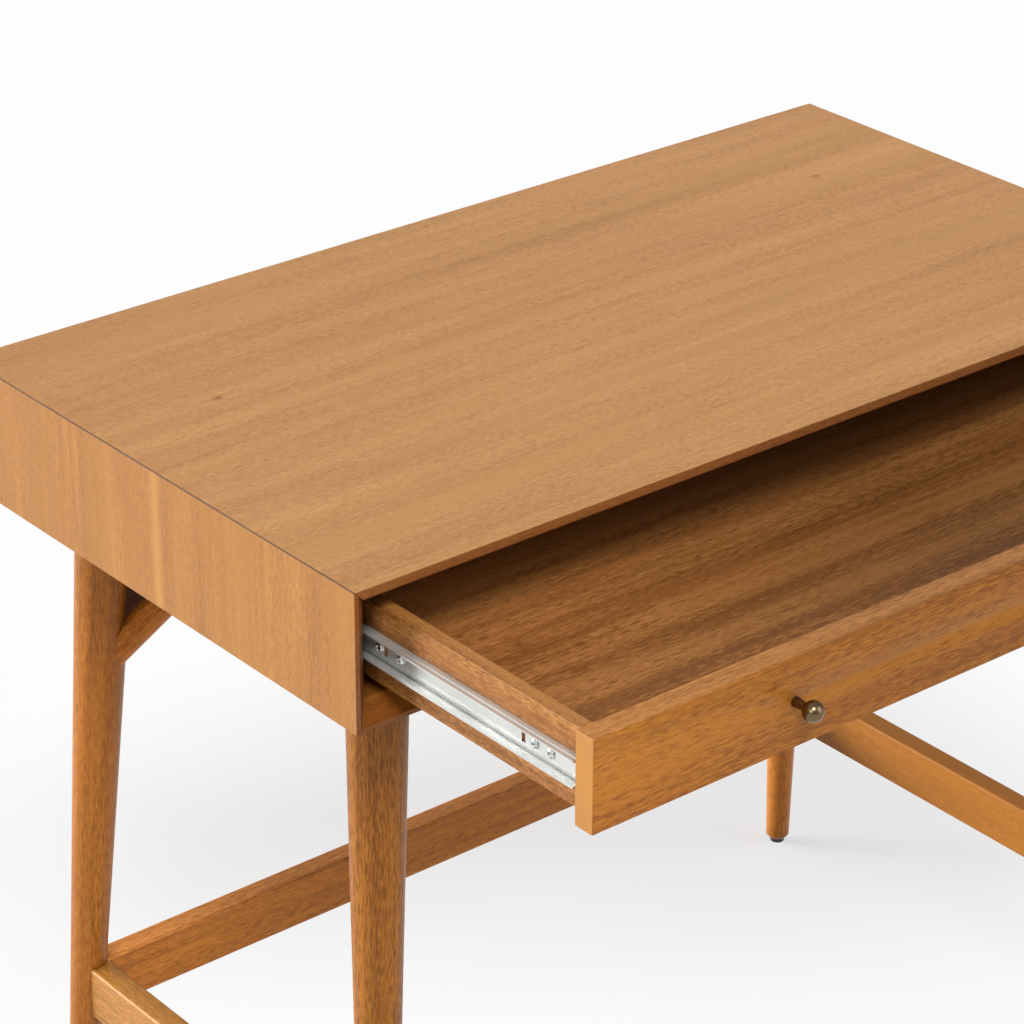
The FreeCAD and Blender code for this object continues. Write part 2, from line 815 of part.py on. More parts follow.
def ball_cage():
    """The strip that keeps the balls of the left slide apart, bent over along both rows."""
    body = new_body("Cage")
    section = new_sketch(body, "XZ_Plane")
    outer = f"({BALL_RISE} + cage_sheet / 2)"
    inner = f"({BALL_RISE} - cage_sheet / 2)"
    web = "cage_sheet"
    lip = "cage_depth"
    outline(section, [
        ("0", f"-{outer}"), ("0", outer), (lip, outer), (lip, inner),
        (web, inner), (web, f"-{inner}"), (lip, f"-{inner}"), (lip, f"-{outer}"),
    ])
    padded(body, section, "cage_length", reverse=True)
    place(body, f"{INNER_LEFT} + slide_sheet + cage_gap", CAGE_START, DRAWER_LEVEL)
    return cut(body, balls("ball_play"))


def slides():
    pair("cabinet_slide", cabinet_member())
    pair("drawer_slide", drawer_member())
    pair("ball_cage", ball_cage())
    pair("slide_balls", group(balls("0")))
    on_drawer = []
    for distance in DRAWER_SCREWS:
        head = screw_head(
            "slide_screw_head_height",
            f"{SIDE_LEFT} - slide_sheet - slide_screw_head_height",
            f"{SLIDE_FRONT} - drawer_open + {distance}",
        )
        screw = joined([drawer_slide_screw(distance, "0"), head])
        on_drawer += [screw, across(screw)]
    node("drawer_slide_screws", group(on_drawer))
    on_case = []
    for distance in CABINET_SCREWS:
        head = screw_head(
            "cabinet_screw_head_height",
            f"{INNER_LEFT} + slide_sheet",
            f"{SLIDE_FRONT} + {distance}",
        )
        screw = joined([cabinet_slide_screw(distance, "0"), head])
        on_case += [screw, across(screw)]
    node("cabinet_slide_screws", group(on_case))


def check_and_write():
    """Stop on any object that did not build; write each node to its own file."""
    doc.recompute()
    for thing in doc.Objects:
        if "Invalid" in thing.State or "Error" in thing.State:
            raise RuntimeError(f"{thing.Name} did not build: {thing.State}")
    os.makedirs("parts", exist_ok=True)
    for thing in nodes:
        if thing.Shape.isNull() or not thing.Shape.isValid() or not thing.Shape.Solids:
            raise RuntimeError(f"{thing.Label} has no valid solid")
        thing.Shape.exportStep(f"parts/{thing.Label}.step")


fill_sheet()
top_panel()
bottom_panel(four(leg_bolt("fit")) + four(brace_screw("fit")))
side_panels(slide_screws(CABINET_SCREWS, "fit", cabinet_slide_screw))
back_panel()
legs()
braces()
stretchers()
leg_fixings()
drawer()
slides()
check_and_write()
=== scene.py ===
import math

import bpy
from mathutils import Matrix, Vector


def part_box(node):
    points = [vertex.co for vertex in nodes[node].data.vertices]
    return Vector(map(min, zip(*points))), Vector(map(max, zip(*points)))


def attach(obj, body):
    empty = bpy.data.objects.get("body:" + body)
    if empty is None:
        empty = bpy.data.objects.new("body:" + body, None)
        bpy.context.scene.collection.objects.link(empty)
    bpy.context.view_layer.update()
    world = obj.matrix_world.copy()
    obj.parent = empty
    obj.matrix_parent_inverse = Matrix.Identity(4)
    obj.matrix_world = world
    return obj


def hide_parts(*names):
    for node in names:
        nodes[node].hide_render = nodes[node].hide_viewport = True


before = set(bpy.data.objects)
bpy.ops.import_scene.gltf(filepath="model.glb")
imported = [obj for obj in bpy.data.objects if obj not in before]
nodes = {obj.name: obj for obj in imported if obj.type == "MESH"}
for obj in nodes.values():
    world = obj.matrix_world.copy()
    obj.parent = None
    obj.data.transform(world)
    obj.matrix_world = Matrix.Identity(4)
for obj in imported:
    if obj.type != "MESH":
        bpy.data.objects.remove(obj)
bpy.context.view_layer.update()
scene = bpy.context.scene

X_AXIS = Vector((1, 0, 0))
Y_AXIS = Vector((0, 1, 0))
Z_AXIS = Vector((0, 0, 1))


def tone(red, green, blue):
    """A screen colour of 0 to 255 as the linear colour that shaders use."""

    def linear(value):
        value /= 255
        return value / 12.92 if value <= 0.04045 else ((value + 0.055) / 1.055) ** 2.4

    return (linear(red), linear(green), linear(blue), 1.0)


def shade(colour, red, green, blue):
    """A colour with each channel scaled, for a darker or lighter part of the same stuff."""
    return (colour[0] * red, colour[1] * green, colour[2] * blue, 1.0)


# Mean colour of each kind of wood, before light falls on it
TOP = tone(175, 127, 79)
SIDE = tone(161, 108, 51)
FRONT = tone(154, 93, 27)
LEG = tone(142, 84, 29)
STRETCHER = tone(170, 102, 30)
BOX = tone(155, 103, 52)
DRAWER_BOTTOM = tone(144, 94, 49)
BARE = tone(206, 172, 128)
FRONT_END = tone(175, 123, 66)

# Colour of small dark marks in the wood
KNOT_HALO = tone(120, 70, 34)
KNOT_CORE = tone(74, 42, 20)
JOINT_LINE = tone(66, 31, 11)

# Colour of metal, plastic and light
ZINC = (0.68, 0.69, 0.66, 1.0)
STEEL = (0.72, 0.72, 0.71, 1.0)
POLISHED_STEEL = (0.86, 0.86, 0.86, 1.0)
BRONZE = (0.19, 0.13, 0.068, 1.0)
DARK_PLASTIC = (0.012, 0.010, 0.009, 1.0)
WHITE = (1.0, 1.0, 1.0, 1.0)

# How the colour changes on edges, on single faces and on some pieces, as a factor for each channel; the
# light streak aside, these hold painted light and shade
# Painted shade on faces that look to the front, the front bevels among them
FRONT_BEVEL_SHADE = (0.58, 0.42, 0.30)
# Painted sheen on the top of the drawer front, lighter and bluer
DRAWER_FRONT_TOP_SHEEN = (1.0, 1.19, 3.1)
# Painted shade on the tops of the drawer's sides and back
DRAWER_RIM_SHADE = (0.90, 0.88, 0.85)
# Painted light and sheen on the top of the back stretcher, lighter and bluer
BACK_STRETCHER_TOP_SHEEN = (1.26, 1.40, 3.0)
# The bottom panel darker than the legs' wood: partly its own tone and partly painted shade
BOTTOM_PANEL = (0.81, 0.79, 0.70)
# Painted shade on faces that look down
UNDERSIDE_SHADE = (0.45, 0.42, 0.40)
# Painted shade on the web in the crotch of a leg and its brace
WEB_SHADE_TONE = (0.13, 0.08, 0.02)
# Painted light: braces lighter than the legs
BRACE_LIGHT = (1.7, 1.72, 1.7)
LIGHT_STREAK = (1.25, 1.36, 1.5)

# How the colour of some solid pieces differs from the mean in the photo, as a factor for each channel;
# partly their own tone and partly painted light: lighter for pieces in shade, bluer with painted sheen
TONE_AND_LIGHT_TINTS = {
    "front_left_leg": (1.05, 1.1, 0.85),
    "back_left_leg": (1.36, 1.4, 1.2),
    "back_right_leg": (1.85, 1.85, 1.5),
    "left_stretcher": (1.0, 1.26, 2.3),
    "back_stretcher": (1.12, 1.12, 1.15),
    "right_stretcher": (1.08, 1.19, 1.45),
}
NO_TINT = (1.0, 1.0, 1.0)

# How strongly the grain of a solid piece shows
GRAIN_CONTRAST = {"right_stretcher": 0.8, "front_left_leg": 3.2}
USUAL_CONTRAST = 2.0

# Noise for the grain: how often it repeats in a metre along and twice across, its detail and its roughness
SWAY = ((1.5, 6.0, 6.0), 1.0, 0.5)
BANDS = ((0.9, 30.0, 30.0), 3.0, 0.55)
STREAKS = ((4.0, 130.0, 130.0), 3.0, 0.6)
FIBRES = ((11.0, 560.0, 560.0), 3.0, 0.7)
HUES = ((1.4, 22.0, 22.0), 2.0, 0.5)

# How far the grain sways to the side, in metres
SWAY_REACH = (0.0, 0.02, 0.02)

# Share of each kind of line in the tone of the wood, and the spread of that tone
BAND_SHARE = 0.28
STREAK_SHARE = 0.20
FIBRE_SHARE = 0.16
FLECK_SHARE = 0.36
TONE_SPREAD = 0.17

# Colours of the grain from dark to light: the place of each, and its factor for each channel of the mean
GRAIN_TONES = (
    (0.0, (0.60, 0.54, 0.46)),
    (0.35, (0.88, 0.85, 0.82)),
    (0.62, (1.07, 1.09, 1.10)),
    (1.0, (1.32, 1.42, 1.50)),
)
REDDER = (1.05, 0.95, 0.97)
YELLOWER = (1.02, 1.06, 0.90)
PORE_TONE = (0.34, 0.27, 0.2)
# The next tone is painted shade for inner corners
CORNER_SHADE_TONE = (0.16, 0.13, 0.1)

# Range of the noise or of the open sky over which each of these sets in, and its amount at both ends
REDDER_RANGE = (0.52, 0.70, 0.0, 0.4)
YELLOWER_RANGE = (0.48, 0.32, 0.0, 0.4)
PORE_RANGE = (0.35, 0.22, 0.0, 1.0)
DARK_BAND_RANGE = (0.35, 0.7, 1.0, 0.5)
# The next range sets painted shade in inner corners by how open the sky is
CORNER_SHADE_RANGE = (0.25, 0.75, 0.8, 0.0)

# Gloss of the lacquer: how its roughness follows the streaks, the roughness of its coat, and its refraction
LACQUER_RANGE = (0.3, 0.7, 0.35, 0.47)
COAT_ROUGHNESS = 0.25
LACQUER_IOR = 1.45

# Depth of the relief of wood and plastic in metres, and the share of the fibres in that of wood
GRAIN_DEPTH = 0.00005
FIBRE_RELIEF = 0.3

# Gloss of legs and stretchers, and of braces: coat, sheen, and how far painted shade in inner corners
# reaches in metres
LEG_GLOSS = (0.15, 0.2, 0.05)
LEFT_STRETCHER_GLOSS = (0.3, 0.2, 0.05)
BRACE_GLOSS = (0.05, 0.1, 0.02)

# How far the grain of one solid piece is from that of the next, in metres
GRAIN_SHIFT = 0.37

# Length and width of the short dark flecks in the wood, in metres
FLECK = (0.006, 0.0011)
LONGER_FLECK = (0.009, 0.0009)
LONGEST_FLECK = (0.010, 0.0008)

# Marks in the wood where the photo has them, in metres in the part's frame
TOP_KNOTS = ((-0.346, 0.195, 0.771), (0.334, 0.244, 0.771))
TOP_KNOT_SIZE = 0.0026
DRAWER_KNOT = (-0.326, -0.150, 0.693)
DRAWER_KNOT_SIZE = 0.005
STRETCHER_KNOT = (0.405, 0.064, 0.184)
STRETCHER_KNOT_SIZE = 0.004
SIDE_STREAK = 0.1195
STREAK_WIDTH = 0.008
STREAK_WANDER = 0.004
MITRE_WIDTH = 0.0011

# Painted falloff of light along X: where each starts and ends in metres, and its factor at both ends
FRONT_LIGHT_FALLOFF = (-0.42, -0.15, 1.2, 0.88)
DRAWER_BOTTOM_LIGHT_FALLOFF = (-0.33, 0.05, 1.28, 0.66)

# Noise for small marks, in the same form as that for the grain
KNOT_RIM = ((260.0, 260.0, 260.0), 2.0, 0.5)
STREAK_EDGE = ((0.0, 9.0, 9.0), 2.0, 0.5)
SCRATCHES = ((12.0, 2600.0, 2600.0), 2.0, 0.5)
CLOUDS = ((25.0, 60.0, 60.0), 3.0, 0.5)
MOULD_GRAIN = ((900.0, 900.0, 900.0), 2.0, 0.5)

# Tones of metal where it is dull, and its painted shade in corners, as a factor for each channel
METAL_DULL = (0.88, 0.89, 0.89)
METAL_CORNER_SHADE = (0.05, 0.045, 0.04)
METAL_CORNER_SHADE_RANGE = (0.3, 0.7, 0.9, 0.0)

# How far painted shade in corners reaches on metal, where its noise starts, and the depth of its scratches,
# in metres
METAL_CORNER_SHADE_REACH = 0.003
METAL_SHIFT = (0.31, 0.17, 0.53)
FINE_SCRATCH = 0.000002
SCRATCH = 0.000003

# Axis of a brace: where it leaves its leg, in metres from the middle of the case, and its angles in degrees
BRACE_START = (0.3907, 0.1875, 0.500)
BRACE_SLOPE = 49.0
BRACE_TURN = 49.0
CASE_MIDDLE = 0.128

# Web beside a brace: how far above that axis its painted shade starts, and over what height it sets in, in
# metres
WEB_START = 0.0115
WEB_BLEND = 0.002

# How nearly a face has to look in a direction to take the colour meant for it, as a cosine
FACING_NONE = 0.3
FACING_FULL = 0.6

# Rays with which a shader feels for inner corners
CORNER_SAMPLES = 8

# Points nearer to each other than this are one point, in metres
SAME_POINT = 0.00001

# Shader building blocks


class Tree:
    """A node tree, and short calls that add nodes to it."""

    def __init__(self, tree):
        self.tree = tree

    def add(self, kind, inputs=None, **settings):
        made = self.tree.nodes.new(kind)
        for name, value in settings.items():
            setattr(made, name, value)
        for socket, value in (inputs or {}).items():
            self.set(made.inputs[socket], value)
        return made

    def set(self, socket, value):
        if isinstance(value, bpy.types.NodeSocket):
            self.tree.links.new(value, socket)
        else:
            socket.default_value = value

    def maths(self, operation, first, second):
        return self.add("ShaderNodeMath", {0: first, 1: second}, operation=operation).outputs[0]

    def vector_maths(self, operation, first, second):
        return self.add("ShaderNodeVectorMath", {0: first, 1: second}, operation=operation).outputs[0]

    def dot(self, vector, direction):
        made = self.add("ShaderNodeVectorMath", {0: vector, 1: direction}, operation="DOT_PRODUCT")
        return made.outputs["Value"]

    def length(self, vector):
        return self.add("ShaderNodeVectorMath", {0: vector}, operation="LENGTH").outputs["Value"]

    def span(self, value, low, high, to_low=0.0, to_high=1.0):
        """Map low..high to to_low..to_high, clamped."""
        made = self.add(
            "ShaderNodeMapRange",
            {"Value": value, "From Min": low, "From Max": high, "To Min": to_low, "To Max": to_high},
        )
        return made.outputs["Result"]


class Shader(Tree):
    """A material with its node tree."""

    def __init__(self, name):
        self.material = bpy.data.materials.new(name)
        self.material.use_nodes = True
        super().__init__(self.material.node_tree)
        self.surface = self.tree.nodes["Principled BSDF"]

    def finish(self, **inputs):
        for name, value in inputs.items():
            self.set(self.surface.inputs[name.replace("_", " ")], value)
        return self.material

    def place(self):
        """The shaded point, in metres in the part's frame; it moves with the piece."""
        return self.add("ShaderNodeTexCoord").outputs["Object"]

    def part_of(self, vector, axis):
        return self.add("ShaderNodeSeparateXYZ", {0: vector}).outputs[axis]

    def facing(self, direction):
        """Cosine of the angle between the surface and a direction."""
        return self.dot(self.add("ShaderNodeNewGeometry").outputs["Normal"], direction)

    def open_sky(self, reach):
        """How open the surroundings are within a reach: near 0 in a tight corner, 1 on an open face."""
        made = self.add("ShaderNodeAmbientOcclusion", {"Distance": reach}, samples=CORNER_SAMPLES)
        return made.outputs["AO"]

    def noise(self, place, stretch, detail, roughness, output="Fac"):
        """Smooth noise whose size along each axis comes from stretch."""
        made = self.add(
            "ShaderNodeTexNoise",
            {"Vector": self.vector_maths("MULTIPLY", place, stretch), "Scale": 1.0,
             "Detail": detail, "Roughness": roughness},
        )
        return made.outputs[output]

    def ramp(self, value, stops):
        made = self.add("ShaderNodeValToRGB", {"Fac": value})
        elements = made.color_ramp.elements
        while len(elements) < len(stops):
            elements.new(0.5)
        for element, (position, colour) in zip(elements, stops):
            element.position = position
            element.color = colour
        return made.outputs["Color"]

    def mix(self, amount, first, second):
        made = self.add("ShaderNodeMix", data_type="RGBA")
        self.set(made.inputs["Factor"], amount)
        self.set(made.inputs["A"], first)
        self.set(made.inputs["B"], second)
        return made.outputs["Result"]

    def bump(self, height, depth):
        made = self.add("ShaderNodeBump", {"Height": height, "Distance": depth, "Strength": 1.0})
        return made.outputs["Normal"]

    def blend(self, amount, first, second):
        """Mix two surfaces: the first where amount is 0, the second where it is 1."""
        return self.add("ShaderNodeMixShader", {0: amount, 1: first, 2: second}).outputs[0]


def grain_place(shader, axis, shift):
    """Coordinates in metres, turned so that X runs along the grain."""
    turn = axis.rotation_difference(X_AXIS).to_euler()
    made = shader.add(
        "ShaderNodeMapping", {"Vector": shader.place(), "Rotation": turn, "Location": shift},
    )
    return made.outputs["Vector"]


# Finishes


def wood(
    name, axis, shift, mean, contrast=1.0, pores=0.3, fleck=FLECK,
    coat=0.0, sheen=0.3, corner_shade_reach=0.015, marks=(),
):
    """Lacquered wood: bands, streaks, fibres and short flecks along an axis, with painted shade in inner
    corners.

    Shift chooses another stretch of the grain, pores is how dark the deepest flecks are, coat and sheen are
    gloss, the corner reach is how far painted shade in an inner corner goes, and marks change the colour in
    places.
    """
    shader = Shader(name)
    place = grain_place(shader, axis, shift)
    sway = shader.noise(place, *SWAY, output="Color")
    sway = shader.vector_maths("SUBTRACT", sway, (0.5, 0.5, 0.5))
    place = shader.vector_maths("ADD", place, shader.vector_maths("MULTIPLY", sway, SWAY_REACH))
    bands = shader.noise(place, *BANDS)
    streaks = shader.noise(place, *STREAKS)
    fibres = shader.noise(place, *FIBRES)
    fleck_length, fleck_width = fleck
    flecks = shader.noise(place, (1.0 / fleck_length, 1.0 / fleck_width, 1.0 / fleck_width), 1.0, 0.5)
    total = shader.maths("MULTIPLY", bands, BAND_SHARE)
    for layer, share in ((streaks, STREAK_SHARE), (fibres, FIBRE_SHARE), (flecks, FLECK_SHARE)):
        total = shader.maths("ADD", total, shader.maths("MULTIPLY", layer, share))
    spread = TONE_SPREAD / contrast
    stops = [(position, shade(mean, *factors)) for position, factors in GRAIN_TONES]
    colour = shader.ramp(shader.span(total, 0.5 - spread, 0.5 + spread), stops)
    hue = shader.noise(place, *HUES)
    colour = shader.mix(shader.span(hue, *REDDER_RANGE), colour, shade(mean, *REDDER))
    colour = shader.mix(shader.span(hue, *YELLOWER_RANGE), colour, shade(mean, *YELLOWER))
    in_dark_band = shader.span(bands, *DARK_BAND_RANGE)
    pits = shader.maths("MULTIPLY", shader.span(flecks, *PORE_RANGE), in_dark_band)
    colour = shader.mix(shader.maths("MULTIPLY", pits, pores), colour, shade(mean, *PORE_TONE))
    for mark in marks:
        colour = mark(shader, colour)
    # Painted shade in inner corners
    corner_shade = shader.span(shader.open_sky(corner_shade_reach), *CORNER_SHADE_RANGE)
    colour = shader.mix(corner_shade, colour, shade(mean, *CORNER_SHADE_TONE))
    relief = shader.maths("SUBTRACT", shader.maths("MULTIPLY", fibres, FIBRE_RELIEF), pits)
    return shader.finish(
        Base_Color=colour, Roughness=shader.span(streaks, *LACQUER_RANGE), IOR=LACQUER_IOR,
        Normal=shader.bump(relief, GRAIN_DEPTH), Specular_IOR_Level=sheen,
        Coat_Weight=coat, Coat_Roughness=COAT_ROUGHNESS,
    )


def knot(centre, size, stretch):
    """A mark: a small dark knot at a point, drawn out by stretch along each axis."""

    def draw(shader, colour):
        away = shader.vector_maths("SUBTRACT", shader.place(), centre)
        away = shader.vector_maths("MULTIPLY", away, [1.0 / (size * part) for part in stretch])
        ragged = shader.noise(shader.place(), *KNOT_RIM)
        near = shader.maths("ADD", shader.length(away), shader.span(ragged, 0.3, 0.7, -0.35, 0.35))
        halo = shader.mix(shader.span(near, 0.8, 2.6, 0.3, 0.0), colour, KNOT_HALO)
        return shader.mix(shader.span(near, 0.3, 1.0, 0.4, 0.0), halo, KNOT_CORE)

    return draw


def banded(direction, colour_there, amount):
    """A mark: the faces that look in one direction take another colour, like an edge band."""

    def draw(shader, colour):
        share = shader.span(shader.facing(direction), FACING_NONE, FACING_FULL, 0.0, amount)
        return shader.mix(share, colour, colour_there)

    return draw


def tinted(direction, factors):
    """A mark: painted light and shade on the faces that look in one direction, their colour scaled with the
    grain kept.
    """

    def draw(shader, colour):
        there = shader.vector_maths("MULTIPLY", colour, factors)
        return shader.mix(shader.span(shader.facing(direction), FACING_NONE, FACING_FULL), colour, there)

    return draw


def shaded_above(direction, level, factors):
    """A mark: painted shade, the colour scaled where the height along a direction is above a level."""

    def draw(shader, colour):
        height = shader.dot(shader.place(), direction)
        there = shader.vector_maths("MULTIPLY", colour, factors)
        return shader.mix(shader.span(height, level, level + WEB_BLEND), colour, there)

    return draw


def streak(axis, middle, width, colour_there):
    """A mark: one lighter stripe where a coordinate is near a value."""

    def draw(shader, colour):
        wander = shader.noise(shader.place(), *STREAK_EDGE)
        wander = shader.span(wander, 0.0, 1.0, -STREAK_WANDER, STREAK_WANDER)
        along = shader.maths("ADD", shader.part_of(shader.place(), axis), wander)
        off = shader.maths("ABSOLUTE", shader.maths("SUBTRACT", along, middle), 0.0)
        return shader.mix(shader.span(off, 0.2 * width, width, 1.0, 0.0), colour, colour_there)

    return draw


def light_falloff(axis, start, end, first, last):
    """A mark: painted light falloff, the colour scaled by a factor that changes evenly along an axis."""

    def draw(shader, colour):
        factor = shader.span(shader.part_of(shader.place(), axis), start, end, first, last)
        return shader.vector_maths("MULTIPLY", colour, factor)

    return draw


def joint_line(point, width):
    """A mark: the thin dark line of a joint that runs along Y through a point."""

    def draw(shader, colour):
        away = shader.vector_maths("SUBTRACT", shader.place(), point)
        away = shader.vector_maths("MULTIPLY", away, (1.0, 0.0, 1.0))
        near = shader.span(shader.length(away), 0.6 * width, width, 0.85, 0.0)
        return shader.mix(near, colour, JOINT_LINE)

    return draw


def metal(name, colour, roughness, axis, brush, bare=1.0):
    """Metal with faint scratches along an axis, a slow change of sheen and painted shade in inner corners.

    Brush is the depth of the scratches in metres, and bare is how much the surface acts as bare metal.
    """
    shader = Shader(name)
    place = grain_place(shader, axis, METAL_SHIFT)
    lines = shader.noise(place, *SCRATCHES)
    cloud = shader.noise(place, *CLOUDS)
    stops = [(0.0, shade(colour, *METAL_DULL)), (1.0, colour)]
    surface = shader.ramp(shader.span(cloud, 0.3, 0.7), stops)
    # Painted shade in the inner corners of the metal
    corner_shade = shader.span(shader.open_sky(METAL_CORNER_SHADE_REACH), *METAL_CORNER_SHADE_RANGE)
    surface = shader.mix(corner_shade, surface, shade(colour, *METAL_CORNER_SHADE))
    shine = shader.span(shader.maths("ADD", lines, cloud), 0.7, 1.3, roughness - 0.04, roughness + 0.05)
    return shader.finish(
        Base_Color=surface, Roughness=shine, Metallic=bare, Normal=shader.bump(lines, brush),
    )


def plastic(name, colour):
    """Moulded plastic with a fine grain."""
    shader = Shader(name)
    grains = shader.noise(shader.place(), *MOULD_GRAIN)
    surface = shader.ramp(grains, [(0.3, colour), (0.7, shade(colour, 1.5, 1.5, 1.5))])
    return shader.finish(Base_Color=surface, Roughness=0.55, Normal=shader.bump(grains, GRAIN_DEPTH))


# Painting the CAD nodes


def long_axis(node):
    """Unit vector along the greatest length of a CAD node."""
    points = [vertex.co for vertex in node.data.vertices]
    middle = sum(points, Vector()) / len(points)
    guess = max((point - middle for point in points), key=lambda offset: offset.length)
    for _ in range(12):
        guess = sum(((point - middle) * (point - middle).dot(guess) for point in points), Vector())
        guess.normalize()
    return guess


def paint(name, material):
    piece = nodes[name]
    piece.data.materials.clear()
    piece.data.materials.append(material)


def paint_case():
    # Painted shade on the faces and bevels that look to the front
    front_shade = tinted(-Y_AXIS, FRONT_BEVEL_SHADE)
    low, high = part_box("top_panel")
    mitre = joint_line((low.x, 0.0, high.z), MITRE_WIDTH)
    knots = [knot(centre, TOP_KNOT_SIZE, (1.2, 1.0, 1.0)) for centre in TOP_KNOTS]
    top = wood(
        "top veneer", X_AXIS, (0.0, 0.0, 0.0), TOP, pores=0.2, sheen=0.25, marks=knots + [front_shade, mitre],
    )
    paint("top_panel", top)
    # Painted shade on the underside of the bottom panel
    underside_shade = tinted(-Z_AXIS, UNDERSIDE_SHADE)
    # The bottom panel's tone holds painted shade as well as its own colour
    bottom = wood("bottom veneer", X_AXIS, (1.3, 0.4, 0.2), shade(LEG, *BOTTOM_PANEL), marks=[underside_shade])
    paint("bottom_panel", bottom)
    light = streak("Y", SIDE_STREAK, STREAK_WIDTH, shade(SIDE, *LIGHT_STREAK))
    left = wood(
        "left veneer", Z_AXIS, (0.2, 0.1, 0.6), SIDE,
        contrast=0.9, pores=0.12, sheen=0.4, marks=[light, front_shade, mitre],
    )
    paint("left_side_panel", left)
    right = wood("right veneer", Z_AXIS, (2.2, 0.9, 0.1), SIDE, pores=0.25)
    paint("right_side_panel", right)
    back = wood("back veneer", X_AXIS, (0.7, 2.4, 1.1), SIDE, pores=0.25)
    paint("back_panel", back)


def web_shade(name):
    """The mark that paints shade on the web beside a brace, in the crotch of the leg."""
    side = 1 if "right" in name else -1
    end = 1 if "back" in name else -1
    slope, turn = math.radians(BRACE_SLOPE), math.radians(BRACE_TURN)
    level_part = math.sin(slope)
    direction = Vector(
        (side * math.cos(turn) * level_part, end * math.sin(turn) * level_part, math.cos(slope))
    )
    start = Vector((side * BRACE_START[0], CASE_MIDDLE + end * BRACE_START[1], BRACE_START[2]))
    return shaded_above(direction, direction.dot(start) + WEB_START, WEB_SHADE_TONE)


def paint_legs():
    """Legs, braces and stretchers, each with its own stretch of grain along its length."""
    shift = 0.0
    for name in nodes:
        if name.endswith(("_leg", "_brace", "_stretcher")):
            shift += GRAIN_SHIFT
            mean = STRETCHER if name.endswith("_stretcher") else LEG
            # Each piece's factor is partly its own tone and partly painted light
            colour = shade(mean, *TONE_AND_LIGHT_TINTS.get(name, NO_TINT))
            coat, sheen, corner_shade_reach = LEG_GLOSS
            marks = []
            if name.endswith("_brace"):
                # Braces take painted light, lighter than the legs
                colour = shade(LEG, *BRACE_LIGHT)
                coat, sheen, corner_shade_reach = BRACE_GLOSS
                # Painted shade on the web beside the brace
                marks = [web_shade(name)]
            elif name == "left_stretcher":
                coat, sheen, corner_shade_reach = LEFT_STRETCHER_GLOSS
            elif name == "right_stretcher":
                marks = [knot(STRETCHER_KNOT, STRETCHER_KNOT_SIZE, (1.0, 2.0, 1.0))]
            elif name == "back_stretcher":
                # Painted light and sheen on the top of the back stretcher
                marks = [tinted(Z_AXIS, BACK_STRETCHER_TOP_SHEEN)]
            finish = wood(
                f"{name} wood", long_axis(nodes[name]), (shift, 2 * shift, 3 * shift), colour,
                contrast=GRAIN_CONTRAST.get(name, USUAL_CONTRAST), pores=0.15, fleck=LONGER_FLECK,
                coat=coat, sheen=sheen, corner_shade_reach=corner_shade_reach, marks=marks,
            )
            paint(name, finish)


def paint_drawer():
    end = banded(-X_AXIS, FRONT_END, 0.8)
    # Painted sheen on the top of the drawer front
    top_sheen = tinted(Z_AXIS, DRAWER_FRONT_TOP_SHEEN)
    # Painted light falloff along the drawer front
    turn = light_falloff("X", *FRONT_LIGHT_FALLOFF)
    front = wood(
        "front veneer", X_AXIS, (0.4, 0.3, 0.9), FRONT,
        contrast=3.2, pores=0.15, fleck=LONGEST_FLECK, sheen=0.25, marks=[turn, top_sheen, end],
    )
    paint("drawer_front", front)
    # Painted shade on the tops of the drawer's sides and back
    rim = tinted(Z_AXIS, DRAWER_RIM_SHADE)
    for name, axis, shift in (
        ("left_drawer_side", Y_AXIS, (0.1, 1.1, 0.7)),
        ("right_drawer_side", Y_AXIS, (1.1, 0.2, 0.3)),
        ("drawer_back", X_AXIS, (2.1, 0.6, 0.8)),
    ):
        finish = wood(f"{name} wood", axis, shift, BOX, contrast=2.4, pores=0.2, sheen=0.25, marks=[rim])
        paint(name, finish)
    # Painted light falloff across the drawer bottom
    bottom_light_falloff = light_falloff("X", *DRAWER_BOTTOM_LIGHT_FALLOFF)
    spot = knot(DRAWER_KNOT, DRAWER_KNOT_SIZE, (1.6, 1.0, 1.0))
    bottom = wood(
        "drawer bottom veneer", X_AXIS, (0.9, 0.5, 0.1), DRAWER_BOTTOM,
        contrast=2.9, pores=0.25, fleck=LONGER_FLECK, sheen=0.2, corner_shade_reach=0.03, marks=[bottom_light_falloff, spot],
    )
    paint("drawer_bottom", bottom)


def paint_small_parts(steel):
    pale = wood("dowel wood", X_AXIS, (0.0, 0.3, 0.0), BARE)
    for name in ("brace_dowels", "stretcher_dowels", "drawer_dowels"):
        paint(name, pale)
    zinc = metal("zinc plating", ZINC, 0.2, Y_AXIS, FINE_SCRATCH, bare=0.65)
    for name in ("left_cabinet_slide", "right_cabinet_slide", "left_drawer_slide", "right_drawer_slide"):
        paint(name, zinc)
    for name in ("leg_bolts", "leg_nuts", "brace_screws", "cabinet_slide_screws", "knob_screws",
                 "left_ball_cage", "right_ball_cage"):
        paint(name, steel)
    bright = metal("polished steel", POLISHED_STEEL, 0.1, Z_AXIS, FINE_SCRATCH)
    for name in ("left_slide_balls", "right_slide_balls"):
        paint(name, bright)
    bronze = metal("antique bronze", BRONZE, 0.22, Y_AXIS, SCRATCH)
    for name in ("left_knob", "right_knob"):
        paint(name, bronze)
    paint("foot_glides", plastic("dark plastic", DARK_PLASTIC))


# Edges of the boards: width of their rounding in metres, least angle of a rounded edge and of any edge

EASE_WIDTH = 0.0006
EASE_ANGLE = 40
FLAT_ANGLE = 0.5


